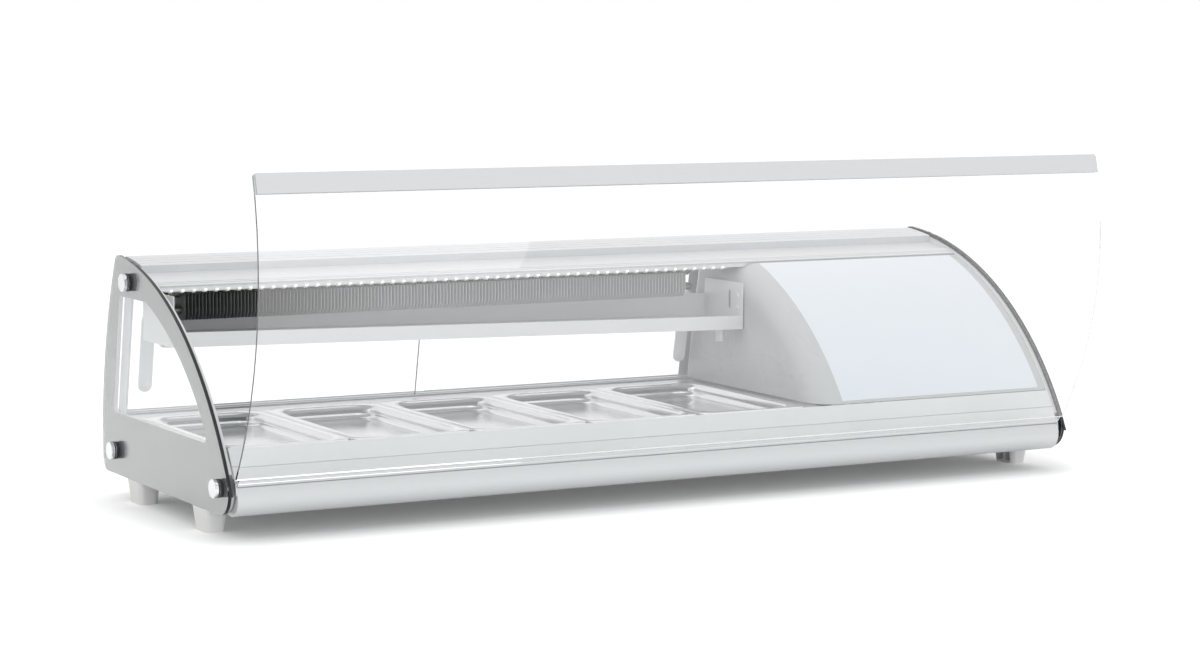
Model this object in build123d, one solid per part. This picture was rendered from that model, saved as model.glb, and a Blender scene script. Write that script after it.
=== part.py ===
from build123d import *
import os
from math import asin, atan2, cos, degrees, radians, sin, sqrt

# Refrigerated counter display case for five 1/3 pans, front glass flipped open.
# Millimetres. X runs along the case to the right, Y to the back, Z up.
# The origin is on the counter, under the middle of the case at rest.

# Driving dimensions of the whole case
HALF_LENGTH = 678.3
SIDE_GLASS = 4.7
SIDE_PRINT = 0.3
CHEEK = 6.0
COUNTER_GAP = 33.5
SHEET = 1.2

# The curved front: one circle, seen from the side, that the closed glass lies on
CURVE_Y = 249.9
CURVE_Z = -151.1
PANEL_RADIUS = 498.9
GLASS_RADIUS = 498.5
GLASS_PROUD = 4.0
FRONT_GLASS = 4.0
SEAT_RADIUS = 493.6

# The front glass and its hinge
PIVOT_Y = -192.2
PIVOT_Z = 77.0
OPEN_ANGLE = 62.0
GLASS_HALF = 669.2
KNUCKLE_RADIUS = 5.0
ROD_RADIUS = 2.0
HOLDER_LENGTH = 27.0
GLASS_LENGTH = 398.0
GRIP_HEIGHT = 24.0

# Pans: gastronorm 1/3, 20 deep
PAN_COUNT = 5
PAN_PITCH = 180.2
PAN_WIDTH = 176.0
PAN_LENGTH = 325.0
PAN_DEPTH = 20.0
PAN_CORNER = 34.0
PAN_SHEET = 0.9
RIM_DEPTH = 3.5
PAN_Y = -0.7
RIM_Z = 122.0
FIRST_PAN_X = -577.0

# The compressor side
DIVIDER_X = 256.0
COVER_EDGE = 38.0
COVER_SHEET = 2.5
LIGHT_LEFT = 298.0
LIGHT_RIGHT = 655.0

# Sliding doors: they lean forward by LEAN
LEAN = 11.0
DOOR_FOOT_Y = 223.0
DOOR_FOOT_Z = 117.0
DOOR_GLASS = 4.0
DOOR_OVERLAP = 20.0
DOOR_MIDDLE_X = -203.0

INNER = HALF_LENGTH - SIDE_GLASS - SIDE_PRINT
CHEEK_FACE = INNER - CHEEK


def curve_point(radius, height):
    """A point of the circle of this radius at a height, on its front side."""
    rise = height - CURVE_Z
    return (CURVE_Y - sqrt(radius**2 - rise**2), height)


def curve_angle(height, radius):
    """The angle of that point about the curve's centre, from the back, in degrees."""
    return 180.0 - degrees(asin((height - CURVE_Z) / radius))


def polar(radius, angle):
    """A point on the circle by its angle."""
    turn = radians(angle)
    return (CURVE_Y + radius * cos(turn), CURVE_Z + radius * sin(turn))


def outline(*edges):
    """A face from edges drawn in the side view, depth across and height up."""
    return make_face(Curve() + list(edges))


def sector(inner, outer, low_angle, high_angle):
    """A piece of ring about the curve's centre, from the front angle down to the back one."""
    sweep = high_angle - low_angle
    centre = (CURVE_Y, CURVE_Z)
    return outline(
        CenterArc(centre, outer, low_angle, sweep),
        Line(polar(outer, high_angle), polar(inner, high_angle)),
        CenterArc(centre, inner, low_angle, sweep),
        Line(polar(inner, low_angle), polar(outer, low_angle)),
    )


def along(face, start, end):
    """The side-view face pushed along the case from one X to another."""
    return extrude(Plane.YZ.offset(start) * face, end - start)


def block(low, high):
    """A box between two corners."""
    size = [b - a for a, b in zip(low, high)]
    middle = [(a + b) / 2 for a, b in zip(low, high)]
    return Pos(*middle) * Box(*size)


def rod(axis, centre, radius, length):
    """A round bar with its middle at a point, along X, Y or Z."""
    turns = {"X": (0, 90, 0), "Y": (90, 0, 0), "Z": (0, 0, 0)}
    return Pos(*centre) * (Rot(*turns[axis]) * Cylinder(radius, length))


def opened(part):
    """Moves a piece of the front glass from the curve's circle to its own, and opens it to rest."""
    part = Pos(0, -GLASS_PROUD, 0) * part
    swing = Axis((0, PIVOT_Y, PIVOT_Z), (1, 0, 0))
    return part.rotate(swing, OPEN_ANGLE)


def leaned(part):
    """Leans an upright piece forward about the foot of the doors."""
    return part.rotate(Axis((0, DOOR_FOOT_Y, DOOR_FOOT_Z), (1, 0, 0)), LEAN)


def glass_front():
    """The foremost Y of the open front glass."""
    turn = radians(OPEN_ANGLE)
    reach = (CURVE_Y - GLASS_PROUD - PIVOT_Y) * cos(turn) - (CURVE_Z - PIVOT_Z) * sin(turn)
    return PIVOT_Y + reach - GLASS_RADIUS


REAR_Y = -glass_front()
TOP_REAR_Y = 220.0
NOSE_RADIUS = 32.0
REAR_CORNER = 20.0
PEAK_RADIUS = 14.0


def side_outline(radius, inset):
    """The outline of a side: flat foot, rounded nose, curved front, rounded peak, leaning back."""
    bottom = COUNTER_GAP + inset
    rear = REAR_Y - inset
    nose = curve_point(radius, bottom)
    peak_y = TOP_REAR_Y - inset
    peak_angle = degrees(atan2(sqrt(radius**2 - (peak_y - CURVE_Y) ** 2), peak_y - CURVE_Y))
    start_angle = curve_angle(bottom, radius)
    front = CenterArc((CURVE_Y, CURVE_Z), radius, peak_angle, start_angle - peak_angle)
    peak = polar(radius, peak_angle)
    heel = (rear, bottom)
    knee = (rear, 110.0)
    back = ThreePointArc(knee, (rear - 12.0, 195.0), peak)
    face = outline(front, Line(nose, heel), Line(heel, knee), back)
    corners = face.vertices()
    nose_corner = corners.sort_by_distance((*nose, 0))[0]
    heel_corner = corners.sort_by_distance((*heel, 0))[0]
    peak_corner = corners.sort_by_distance((*peak, 0))[0]
    face = fillet(nose_corner, NOSE_RADIUS - inset)
    heel_corner = face.vertices().sort_by_distance((*heel, 0))[0]
    face = fillet(heel_corner, REAR_CORNER - inset)
    peak_corner = face.vertices().sort_by_distance((*peak, 0))[0]
    return fillet(peak_corner, PEAK_RADIUS)


WINDOW_LOW = 121.5
WINDOW_HIGH = 289.0
WINDOW_RADIUS = 463.0
WINDOW_CORNER = 9.0


def window():
    """The clear window of a side, framed by the print and the end cheek."""
    front_low = curve_point(WINDOW_RADIUS, WINDOW_LOW)
    front_high = curve_point(WINDOW_RADIUS, WINDOW_HIGH)
    high = curve_angle(WINDOW_HIGH, WINDOW_RADIUS)
    low = curve_angle(WINDOW_LOW, WINDOW_RADIUS)
    rear_low = (243.5, WINDOW_LOW)
    rear_high = (213.0, WINDOW_HIGH)
    face = outline(
        CenterArc((CURVE_Y, CURVE_Z), WINDOW_RADIUS, high, low - high),
        Line(front_high, rear_high),
        Line(rear_high, rear_low),
        Line(rear_low, front_low),
    )
    return fillet(face.vertices(), WINDOW_CORNER)


STANDOFFS = [(166.5, 311.5), (226.0, 68.0), (-169.0, 70.0)]
CAP_RADIUS = 12.8
BARREL_RADIUS = 11.0
CAP_HEIGHT = 12.0
STUD_RADIUS = 4.0


def side_glass(side):
    """The outer pane of a side, drilled for its three standoffs."""
    face = side_outline(PANEL_RADIUS, 0.0)
    for place in STANDOFFS:
        face -= Pos(*place) * Circle(STUD_RADIUS + 0.5)
    return along(face, side * INNER + side * SIDE_PRINT, side * HALF_LENGTH)


def side_print(side):
    """The printed border behind the pane, with the clear window left open."""
    face = side_outline(PANEL_RADIUS, 0.0) - window()
    for place in STANDOFFS:
        face -= Pos(*place) * Circle(STUD_RADIUS + 0.5)
    return along(face, side * INNER, side * (INNER + SIDE_PRINT))


def end_cheek(side):
    """The light moulded frame inside a side, which the closed glass lies against."""
    face = side_outline(SEAT_RADIUS, 3.0) - window()
    clearance = Pos(PIVOT_Y, PIVOT_Z) * Circle(KNUCKLE_RADIUS + 11.0)
    face -= clearance
    for place in STANDOFFS:
        face -= Pos(*place) * Circle(STUD_RADIUS)
    return along(face, side * CHEEK_FACE, side * INNER)


def standoffs():
    """Six chrome caps on ringed barrels with their studs, one group."""
    parts = []
    for side in (-1, 1):
        for y, z in STANDOFFS:
            face_x = side * HALF_LENGTH
            cap = rod("X", (face_x + side * (CAP_HEIGHT - 2.5), y, z), CAP_RADIUS, 5.0)
            edge = cap.edges().filter_by(GeomType.CIRCLE)
            outer = edge.sort_by(Axis.X)[-1 if side > 0 else 0]
            cap = chamfer(outer, 0.8)
            barrel = rod("X", (face_x + side * 4.5, y, z), BARREL_RADIUS, 5.0)
            ring = rod("X", (face_x + side * 4.5, y, z), BARREL_RADIUS + 1.0, 1.2)
            inner_end = INNER - CHEEK
            length = HALF_LENGTH + 2.0 - inner_end
            stud = rod("X", (side * (inner_end + length / 2), y, z), STUD_RADIUS, length)
            parts.append(cap + barrel + ring + stud)
    return Compound(children=parts)


def washers():
    """Six dark washers between the caps and the glass."""
    parts = []
    for side in (-1, 1):
        for y, z in STANDOFFS:
            centre = (side * (HALF_LENGTH + 1.0), y, z)
            ring = rod("X", centre, CAP_RADIUS - 0.5, 2.0) - rod("X", centre, STUD_RADIUS, 3.0)
            parts.append(ring)
    return Compound(children=parts)


CANOPY_FRONT = 80.5
GROOVE_FRONT = 97.0
GROOVE_BACK = 148.0
GROOVE_RADIUS = 487.0
CANOPY_RADIUS = 497.5
CANOPY_WALL = 3.0
CANOPY_BACK = 209.0


def angle_at(depth, radius):
    """The angle of the circle point at a depth Y, on its upper side."""
    return degrees(atan2(sqrt(radius**2 - (depth - CURVE_Y) ** 2), depth - CURVE_Y))


def canopy():
    """The top extrusion: a lip under the glass, a groove for its grip, a ribbed back and a tail."""
    front, mid, step = (angle_at(v, SEAT_RADIUS) for v in (CANOPY_FRONT, GROOVE_FRONT, GROOVE_BACK))
    back = angle_at(CANOPY_BACK, CANOPY_RADIUS)
    face = sector(SEAT_RADIUS - CANOPY_WALL, SEAT_RADIUS, mid, front)
    face += sector(GROOVE_RADIUS - CANOPY_WALL, SEAT_RADIUS, mid - 0.35, mid)
    face += sector(GROOVE_RADIUS - CANOPY_WALL, GROOVE_RADIUS, step, mid)
    face += sector(GROOVE_RADIUS - CANOPY_WALL, CANOPY_RADIUS, step - 0.35, step)
    face += sector(CANOPY_RADIUS - CANOPY_WALL, CANOPY_RADIUS, back, step)
    for rib in range(2):
        at = front - 0.6 - rib * 0.6
        face -= sector(SEAT_RADIUS - 0.7, SEAT_RADIUS + 1.0, at - 0.16, at)
    for rib in range(3):
        at = step - 1.3 - rib * 1.6
        face -= sector(CANOPY_RADIUS - 0.7, CANOPY_RADIUS + 1.0, at - 0.16, at)
    lip_y, lip_z = polar(SEAT_RADIUS - CANOPY_WALL, front)
    lip = Polyline(
        (lip_y + 0.2, lip_z + 1.0),
        (lip_y + 0.2, lip_z - 5.0),
        (lip_y + 21.0, lip_z - 5.0),
        (lip_y + 21.0, lip_z - 3.0),
        (lip_y + 2.2, lip_z - 3.0),
        (lip_y + 2.2, lip_z + 1.2),
        close=True,
    )
    face += make_face(lip)
    tail_y, tail_z = polar(CANOPY_RADIUS, back)
    tail = Polyline(
        (tail_y - 1.0, tail_z - 0.2),
        (tail_y + 8.0, tail_z - 6.0),
        (tail_y + 12.0, tail_z - 20.0),
        (tail_y + 9.0, tail_z - 20.0),
        (tail_y + 5.5, tail_z - 8.0),
        (tail_y - 1.0, tail_z - 3.0),
        close=True,
    )
    face += make_face(tail)
    return along(face, -CHEEK_FACE, CHEEK_FACE)


LED_PITCH = 16.7
LED_START = -648.0
LED_COUNT = 54


def led_strip():
    """The light strip under the canopy lip: a board with its row of emitters."""
    lip_y, lip_z = polar(SEAT_RADIUS - CANOPY_WALL, angle_at(CANOPY_FRONT, SEAT_RADIUS))
    top = lip_z - 5.0
    start = LED_START - LED_PITCH / 2
    end = start + LED_COUNT * LED_PITCH
    board = block((start, lip_y + 2.0, top - 1.6), (end, lip_y + 18.0, top))
    for number in range(LED_COUNT):
        x = LED_START + number * LED_PITCH
        chip = block((x - 2.5, lip_y + 3.5, top - 3.0), (x + 2.5, lip_y + 8.5, top - 1.5))
        board += chip
    return board


TRAY_FRONT_Y = 49.5
TRAY_BACK_Y = 160.0
TRAY_LEFT = -656.0
TRAY_RIGHT = 252.0
TRAY_LEFT_Z = 230.5
TRAY_RIGHT_Z = 213.0
TRAY_LIP = 20.0


def tray_section():
    """The drip tray seen from the side: folded lip, sloping gutter and raised back."""
    y, wall = TRAY_FRONT_Y, SHEET
    line = Polyline(
        (y, 0.0),
        (y, TRAY_LIP),
        (y + 8.0, TRAY_LIP),
        (y + 8.0, TRAY_LIP - wall),
        (y + wall, TRAY_LIP - wall),
        (y + wall, wall),
        (y + 40.0, wall - 4.0),
        (TRAY_BACK_Y - wall, 12.0),
        (TRAY_BACK_Y - wall, 46.0),
        (TRAY_BACK_Y, 46.0),
        (TRAY_BACK_Y, 10.9),
        (y + 40.2, -4.2),
        close=True,
    )
    return make_face(line)


def drip_tray():
    """The stainless tray under the evaporator, sloping down to its drain at the right."""
    section = tray_section()
    left = Plane.YZ.offset(TRAY_LEFT) * (Pos(0, TRAY_LEFT_Z) * section)
    right = Plane.YZ.offset(TRAY_RIGHT) * (Pos(0, TRAY_RIGHT_Z) * section)
    tray = loft([left, right], ruled=True)
    spout_z = TRAY_RIGHT_Z - 4.0
    spout = rod("Z", (TRAY_RIGHT - 14.0, TRAY_FRONT_Y + 40.0, spout_z - 8.0), 7.0, 18.0)
    bore = rod("Z", (TRAY_RIGHT - 14.0, TRAY_FRONT_Y + 40.0, spout_z - 8.0), 5.5, 40.0)
    return (tray + spout) - bore


def tray_brackets():
    """The two end plates that hang the tray, each with a slot and two screws."""
    plates = []
    for x, base in ((TRAY_LEFT - 1.7, TRAY_LEFT_Z), (TRAY_RIGHT + 0.2, TRAY_RIGHT_Z)):
        plate = block((x, TRAY_FRONT_Y, base), (x + 1.5, TRAY_BACK_Y, base + 70.0))
        plate -= block((x - 1, TRAY_FRONT_Y + 34.0, base + 30.0), (x + 3, TRAY_FRONT_Y + 40.0, base + 56.0))
        head_x = x + (1.5 if x < 0 else 0.0) + (0.8 if x < 0 else -0.8)
        for rise in (32.0, 50.0):
            plate += rod("X", (head_x, TRAY_FRONT_Y + 15.0, base + rise), 3.2, 1.8)
        plates.append(plate)
    return Compound(children=plates)


FIN_COUNT = 42
FIN_PITCH = 19.5
FIN_LEFT = -625.0
FIN_LOW_Y = 88.0
FIN_HIGH_Y = 152.0
FIN_LOW_Z = 262.0
FIN_STEP_Z = 299.0
FIN_HIGH_Z = 310.0
TUBE_RADIUS = 5.0
TUBES = [(104.0, 276.0), (136.0, 276.0), (136.0, 301.0), (112.0, 298.0)]


def fin_face():
    """One evaporator fin, its top front corner cut back under the light strip."""
    line = Polyline(
        (FIN_LOW_Y, FIN_LOW_Z + 8.0),
        (FIN_LOW_Y + 8.0, FIN_LOW_Z),
        (FIN_HIGH_Y, FIN_LOW_Z),
        (FIN_HIGH_Y, FIN_HIGH_Z),
        (FIN_LOW_Y + 18.0, FIN_HIGH_Z),
        (FIN_LOW_Y + 16.0, FIN_STEP_Z),
        (FIN_LOW_Y, FIN_STEP_Z),
        close=True,
    )
    face = make_face(line)
    collar = RegularPolygon(TUBE_RADIUS, 8, major_radius=False)
    for y, z in TUBES:
        face -= Pos(y, z) * collar
    return face


def evaporator_fins():
    """The row of cooling fins, as separate plates on the tubes."""
    face = fin_face()
    fins = [along(face, FIN_LEFT + n * FIN_PITCH, FIN_LEFT + n * FIN_PITCH + 1.0) for n in range(FIN_COUNT)]
    return Compound(children=fins)


def evaporator_coil():
    """Four passes of tube through the fins, joined by return bends at the ends."""
    left, right = FIN_LEFT - 14.0, FIN_LEFT + FIN_COUNT * FIN_PITCH + 2.0
    route = [(left, *TUBES[0]), (right, *TUBES[0]), (right, *TUBES[1]), (left, *TUBES[1])]
    route += [(left, *TUBES[2]), (right, *TUBES[2]), (right, *TUBES[3]), (left, *TUBES[3])]
    path = FilletPolyline(*route, radius=9.0)
    return tube(path, TUBE_RADIUS)


def tube(path, radius):
    """A round bar swept along a path of straight runs and tangent arcs."""
    start = Plane(origin=path @ 0, z_dir=path % 0)
    return sweep(start * Circle(radius), path=path)


FASCIA_HALF = GLASS_HALF - 3.4
LIP_Y = PAN_Y - PAN_LENGTH / 2 - 0.2
LEDGE_Y = -157.0
LEDGE_Z = 118.2
NOSE_BACK_Y = -148.4
CHANNEL_TOP = 107.0
CHANNEL_LOW = 70.5
CHANNEL_DEPTH = 9.0


def front_fascia():
    """The front extrusion: ledge for the pans, seat face, hinge channel and rounded nose."""
    far = -300.0
    rear = Polyline(
        (far, COUNTER_GAP),
        (NOSE_BACK_Y, COUNTER_GAP),
        (NOSE_BACK_Y, 52.0),
        (-172.0, 62.0),
        (-172.0, 80.0),
        (LEDGE_Y, 100.0),
        (LEDGE_Y, LEDGE_Z),
        (LIP_Y, LEDGE_Z),
        (LIP_Y, RIM_Z - 1.0),
        (far, RIM_Z - 1.0),
        close=True,
    )
    face = side_outline(PANEL_RADIUS - 3.0, 3.0) & make_face(rear)
    band = make_face(
        Polyline((far, CHANNEL_LOW), (0.0, CHANNEL_LOW), (0.0, CHANNEL_TOP), (far, CHANNEL_TOP), close=True)
    )
    high = curve_angle(CHANNEL_LOW - 20.0, SEAT_RADIUS)
    channel = sector(SEAT_RADIUS - CHANNEL_DEPTH, PANEL_RADIUS + 60.0, 120.0, high)
    face -= Pos(-GLASS_PROUD, 0) * channel & band
    face -= Pos(PIVOT_Y, PIVOT_Z) * Circle(KNUCKLE_RADIUS + 0.6)
    return along(face, -FASCIA_HALF, FASCIA_HALF)


HOLDER_OUT = 500.4
HOLDER_IN = 488.6


def holder_angles():
    """The lower and upper ends of the glass holder, closed, as angles."""
    low = curve_angle(PIVOT_Z, SEAT_RADIUS)
    return low, low - degrees(HOLDER_LENGTH / SEAT_RADIUS)


def glass_holder():
    """The extrusion that grips the lower edge of the glass and turns on the rod."""
    low, high = holder_angles()
    face = sector(HOLDER_IN, HOLDER_OUT, high, low)
    face -= sector(GLASS_RADIUS - FRONT_GLASS, GLASS_RADIUS, high - 1.0, high + 1.9)
    knuckle = Pos(PIVOT_Y + GLASS_PROUD, PIVOT_Z)
    face += knuckle * Circle(KNUCKLE_RADIUS)
    face -= knuckle * Circle(ROD_RADIUS + 0.05)
    return opened(along(face, -GLASS_HALF + 4.0, GLASS_HALF - 4.0))


def front_glass():
    """The curved front pane, from inside the holder to inside the grip."""
    low, high = holder_angles()
    start = high + 1.9
    end = high - degrees(GLASS_LENGTH / GLASS_RADIUS)
    return opened(along(sector(GLASS_RADIUS - FRONT_GLASS, GLASS_RADIUS, end, start), -GLASS_HALF, GLASS_HALF))


def glass_grip():
    """The grip strip on the free edge of the glass."""
    low, high = holder_angles()
    end = high - degrees(GLASS_LENGTH / GLASS_RADIUS)
    face = sector(GLASS_RADIUS - FRONT_GLASS - 4.6, GLASS_RADIUS + 1.4, end - 0.3, end + degrees(GRIP_HEIGHT / GLASS_RADIUS))
    face -= sector(GLASS_RADIUS - FRONT_GLASS, GLASS_RADIUS, end, end + 5.0)
    return opened(along(face, -GLASS_HALF + 2.4, GLASS_HALF - 2.4))


def hinge_rod():
    """The steel rod that the holder turns on, held by the two cheeks' plates."""
    return rod("X", (0, PIVOT_Y, PIVOT_Z), ROD_RADIUS, 2 * CHEEK_FACE)


def hinge_plates():
    """Two small plates on the cheeks that carry the ends of the hinge rod."""
    plates = []
    for side in (-1, 1):
        face = make_face(
            Polyline(
                (-207.0, 62.0),
                (-158.0, 62.0),
                (-158.0, 104.0),
                (-170.0, 104.0),
                (-184.0, 84.0),
                (-197.0, 82.0),
                close=True,
            )
        )
        face += Pos(PIVOT_Y, PIVOT_Z) * Circle(KNUCKLE_RADIUS)
        face = face & side_outline(PANEL_RADIUS - 0.5, 1.0)
        face -= Pos(PIVOT_Y, PIVOT_Z) * Circle(ROD_RADIUS)
        plates.append(along(face, side * FASCIA_HALF, side * CHEEK_FACE))
    return Compound(children=plates)


BASE_LOW = COUNTER_GAP + 3.5
BASE_FRONT = -148.0
BASE_REAR = 270.0
WELL_FLOOR = 66.0


def base_tray():
    """The folded sheet-steel underside that everything stands on."""
    tray = block((-CHEEK_FACE, BASE_FRONT, BASE_LOW - SHEET), (CHEEK_FACE, BASE_REAR, BASE_LOW))
    front = block((-CHEEK_FACE, BASE_FRONT, BASE_LOW), (CHEEK_FACE, BASE_FRONT + SHEET, 58.0))
    rear = block((-CHEEK_FACE, BASE_REAR - SHEET, BASE_LOW), (CHEEK_FACE, BASE_REAR, 108.0))
    return (tray + front + rear) - rod("Y", (GLAND_X, BASE_REAR, GLAND_Z), GLAND_RADIUS, 20.0)


def insulation():
    """The foam round the pan well."""
    outer = block((-CHEEK_FACE, BASE_FRONT + 2.0, BASE_LOW), (DIVIDER_X + 14.0, BASE_REAR - 2.0, 108.0))
    left, right = well_span()
    front, back = well_depth()
    well = block((left - SHEET, -300.0, WELL_FLOOR), (right + SHEET, back + SHEET, 120.0))
    return outer - well


def well_span():
    """The left and right inner faces of the pan well."""
    left = FIRST_PAN_X - PAN_WIDTH / 2 + 9.0
    return left, left + PAN_PITCH * PAN_COUNT - 22.0


def well_depth():
    """The front and back inner faces of the pan well."""
    return LEDGE_Y + 0.5 + SHEET, PAN_Y + 157.0


def well_liner():
    """The stainless liner of the pan well, open at the top."""
    left, right = well_span()
    front, back = well_depth()
    shell = block((left - SHEET, front - SHEET, WELL_FLOOR), (right + SHEET, back + SHEET, 117.0))
    hollow = block((left, front, WELL_FLOOR + SHEET), (right, back, 120.0))
    return shell - hollow


DECK_TOP = 118.2


def pan_deck():
    """The stainless deck round the well that the pan rims rest on, up to the doors."""
    left, right = well_span()
    front, back = well_depth()
    low = (-CHEEK_FACE, LEDGE_Y + 0.1, DECK_TOP - SHEET)
    deck = block(low, (DIVIDER_X + 12.0, DOOR_FOOT_Y - 6.0, DECK_TOP))
    return deck - block((left, front, 100.0), (right, back, 130.0))


def crossbars():
    """The thin bars between the pans, hooked into the deck."""
    bars = []
    front, back = well_depth()
    for gap in range(1, PAN_COUNT):
        x = FIRST_PAN_X + (gap - 0.5) * PAN_PITCH
        low = block((x - 8.0, front, DECK_TOP - SHEET), (x + 8.0, back, DECK_TOP))
        web = block((x - 1.3, front, DECK_TOP), (x + 1.3, back, RIM_Z - 0.6))
        bars.append(low + web)
    return Compound(children=bars)


def pan(number):
    """A drawn steel pan: flat rim, rounded corners, tapered walls and rounded floor."""
    x = FIRST_PAN_X + number * PAN_PITCH
    half_w, half_l = PAN_WIDTH / 2, PAN_LENGTH / 2
    rim = Pos(x, PAN_Y, RIM_Z - RIM_DEPTH) * extrude(RectangleRounded(PAN_WIDTH, PAN_LENGTH, 14.0), RIM_DEPTH)
    lip = Pos(x, PAN_Y, RIM_Z - RIM_DEPTH) * extrude(
        RectangleRounded(PAN_WIDTH - 2.4, PAN_LENGTH - 2.4, 12.8), RIM_DEPTH - PAN_SHEET
    )
    body = pan_body(half_w - 10.5, half_l - 10.5, PAN_CORNER, 0.0)
    hollow = pan_body(half_w - 10.5 - PAN_SHEET, half_l - 10.5 - PAN_SHEET, PAN_CORNER - PAN_SHEET, PAN_SHEET)
    place = Pos(x, PAN_Y, 0)
    return (rim - lip + place * body) - place * hollow


FLOOR_STEPS = [(8.0, 0.0), (2.6, 2.6), (0.0, 8.0)]
PAN_TAPER = 3.5


def pan_body(half_w, half_l, corner, lift):
    """The tapered bowl of a pan, as a solid: its floor edge turns up in steps of inset and rise."""
    top = RIM_Z if lift else RIM_Z - 0.1
    low = RIM_Z - PAN_DEPTH + lift
    sections = []
    for inset, rise in FLOOR_STEPS:
        cut = 2.0 * (PAN_TAPER + inset)
        ring = RectangleRounded(2 * half_w - cut, 2 * half_l - cut, corner - PAN_TAPER - inset)
        sections.append(Pos(0, 0, low + rise) * ring)
    sections.append(Pos(0, 0, top) * RectangleRounded(2 * half_w, 2 * half_l, corner))
    return loft(sections, ruled=True)


COVER_RADIUS = SEAT_RADIUS - 2.0
COVER_LOW = RIM_Z - 0.8
COVER_TOP = 303.8


def cover_face(wall, low):
    """The section of the machine cover, drawn one wall thickness inside its skin."""
    radius = COVER_RADIUS - wall
    high = angle_at(CANOPY_FRONT - 1.0 + wall, radius)
    start = curve_point(radius, low)
    end = polar(radius, high)
    rear = DOOR_FOOT_Y - 6.0 + wall
    rear_top = DOOR_FOOT_Y - 44.0 + wall
    return outline(
        CenterArc((CURVE_Y, CURVE_Z), radius, high, curve_angle(low, radius) - high),
        Line(end, (end[0], COVER_TOP - wall)),
        Line((end[0], COVER_TOP - wall), (rear_top, COVER_TOP - wall)),
        Line((rear_top, COVER_TOP - wall), (rear, low)),
        Line((rear, low), start),
    )


def rounded_cover(wall, low):
    """The solid of that section, its curved edge to the pans rounded over."""
    solid = along(cover_face(wall, low), DIVIDER_X + wall, CHEEK_FACE)
    arcs = solid.edges().filter_by(GeomType.CIRCLE).sort_by(Axis.X)
    return fillet(arcs[0], COVER_EDGE - wall)


def compressor_cover():
    """The moulded cover of the machine side, with a large rounded edge to the pans."""
    shell = rounded_cover(0.0, COVER_LOW) - rounded_cover(COVER_SHEET, COVER_LOW - 1.0)
    return shell - along(light_face(COVER_SHEET + 10.0, 5.0), LIGHT_LEFT, LIGHT_RIGHT)


def light_face(depth, proud):
    """The band of the curved front that the lit panel fills."""
    low = curve_angle(RIM_Z + 3.0, COVER_RADIUS)
    high = angle_at(CANOPY_FRONT - 4.0, COVER_RADIUS)
    return sector(COVER_RADIUS - depth, COVER_RADIUS + proud, high, low)


def lit_panel():
    """The translucent curved panel in front of the machine side."""
    return along(light_face(COVER_SHEET, 0.6), LIGHT_LEFT, LIGHT_RIGHT)


def door(side):
    """A sliding pane; the left one runs in the rear track, the right one in front of it."""
    low_x = -CHEEK_FACE + 3.0 if side < 0 else DOOR_MIDDLE_X - DOOR_OVERLAP / 2
    high_x = DOOR_MIDDLE_X + DOOR_OVERLAP / 2 if side < 0 else DIVIDER_X + 6.0
    y = door_y(side)
    pane = block((low_x, y, DOOR_FOOT_Z - 2.0), (high_x, y + DOOR_GLASS, DOOR_TOP_Z))
    for z in handle_screws():
        pane -= rod("Y", (HANDLES[side], y, z), SCREW_RADIUS + 0.2, 20.0)
    return leaned(pane)


DOOR_TOP_Z = 326.0
TRACK_STEP = 10.0


def door_y(side):
    """The front face of a pane before it is leaned."""
    return DOOR_FOOT_Y + (TRACK_STEP if side < 0 else 0.0)


HANDLE_WIDTH = 20.0
HANDLE_LOW = 146.0
HANDLE_HIGH = 262.0
HANDLES = {-1: -631.0, 1: 242.0}


SCREW_RADIUS = 3.0
HEAD_RADIUS = 5.0
HEAD_HEIGHT = 1.5
STRIP = 3.0


def handle_screws():
    """The heights of the two screws of a handle, before it is leaned."""
    return HANDLE_LOW + HANDLE_WIDTH / 2 + 3.0, HANDLE_HIGH - HANDLE_WIDTH / 2 - 3.0


def door_handle(side):
    """The rounded strip handle on the back of a pane, with its two screws and their caps."""
    length = HANDLE_HIGH - HANDLE_LOW
    strip = Rot(90, 0, 0) * (Rot(0, 0, 90) * extrude(SlotOverall(length, HANDLE_WIDTH), STRIP))
    y = door_y(side)
    x = HANDLES[side]
    back = y + DOOR_GLASS
    handle = Pos(x, back + STRIP, (HANDLE_LOW + HANDLE_HIGH) / 2) * strip
    for z in handle_screws():
        handle += rod("Y", (x, y + DOOR_GLASS / 2, z), SCREW_RADIUS, DOOR_GLASS + 1.0)
        handle += rod("Y", (x, back + STRIP + HEAD_HEIGHT / 2, z), HEAD_RADIUS, HEAD_HEIGHT)
        handle += rod("Y", (x, y - HEAD_HEIGHT / 2, z), HEAD_RADIUS, HEAD_HEIGHT)
    return leaned(handle)


def track(low, high, x_end):
    """A double U rail for the two panes, before it is leaned."""
    front = door_y(1) - 2.6
    back = door_y(-1) + DOOR_GLASS + 2.6
    return block((-CHEEK_FACE, front, low), (x_end, back, high))


def lower_track():
    """The lower door rail with its two grooves."""
    bar = track(DOOR_FOOT_Z - 8.0, DOOR_FOOT_Z + 4.0, DIVIDER_X + 12.0)
    for side in (-1, 1):
        y = door_y(side)
        bar -= block((-700.0, y - 0.5, DOOR_FOOT_Z - 3.0), (300.0, y + DOOR_GLASS + 0.5, DOOR_FOOT_Z + 5.0))
    return leaned(bar)


def upper_track():
    """The upper door rail, deeper so that a pane can be lifted out."""
    bar = track(DOOR_TOP_Z - 8.0, DOOR_TOP_Z + 14.0, DIVIDER_X + 12.0)
    for side in (-1, 1):
        y = door_y(side)
        bar -= block((-700.0, y - 0.5, DOOR_TOP_Z - 9.0), (300.0, y + DOOR_GLASS + 0.5, DOOR_TOP_Z + 3.0))
    return leaned(bar)


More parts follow.
